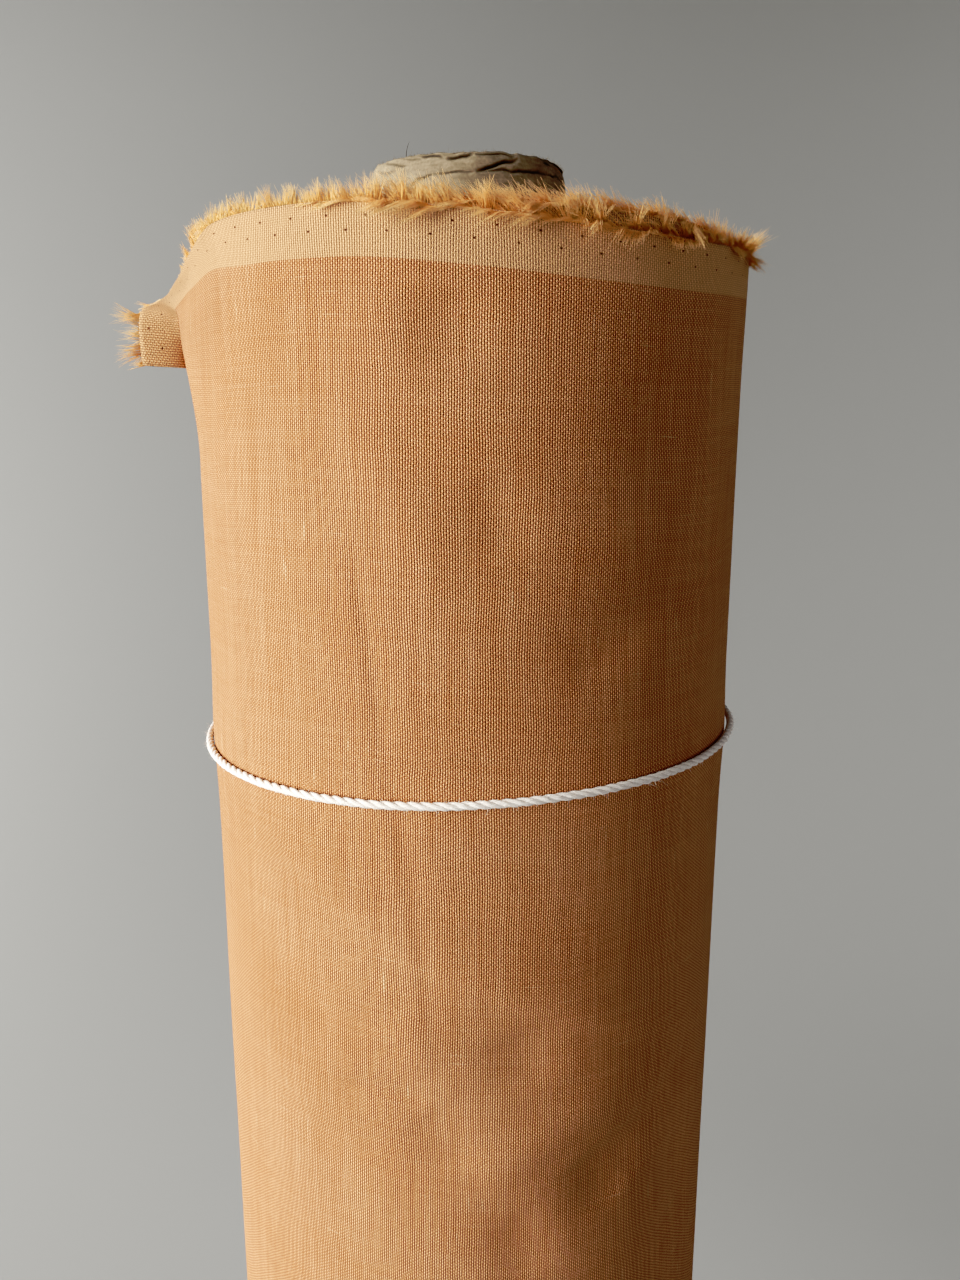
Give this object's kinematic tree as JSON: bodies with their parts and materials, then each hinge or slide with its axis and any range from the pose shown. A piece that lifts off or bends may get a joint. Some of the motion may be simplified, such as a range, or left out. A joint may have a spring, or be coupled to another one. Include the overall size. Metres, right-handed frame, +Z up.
{
  "type": "fabric bolt",
  "caption": "Bolt of linen wound on a cardboard core, standing on end, tied round with cotton string near each end, one top corner flared loose.",
  "frame": {"origin": "centre of the core's lower end, on the core's axis", "axes": "+Z up the core's axis; the loose upper corner of the cloth is on the -X side and the knots of the ties are at the +Y side"},
  "size_m": [0.1923, 0.1755, 1.5],
  "materials": {
    "core_kraft": "matte",
    "core_board": "matte",
    "paper_tape": "satin",
    "linen": "matte",
    "cotton_string": "matte"
  },
  "bodies": {
    "roll": {"core_liner_ply": "core_kraft", "core_board": "core_board", "core_cover_ply": "core_kraft", "start_tape": "paper_tape", "wound_cloth": "linen", "last_turn": "linen", "loose_corner": "linen"},
    "upper_loop": {"upper_tie": "cotton_string", "upper_tie_knot": "cotton_string"},
    "lower_loop": {"lower_tie": "cotton_string", "lower_tie_knot": "cotton_string"}
  },
  "joints": [
    {"name": "upper_tie_slide", "type": "slide", "parent": "roll", "child": "upper_loop", "axis": [0, 0, 1], "range_m": [-0.5, 0.08]},
    {"name": "lower_tie_slide", "type": "slide", "parent": "roll", "child": "lower_loop", "axis": [0, 0, 1], "range_m": [-0.13, 0.5]}
  ]
}
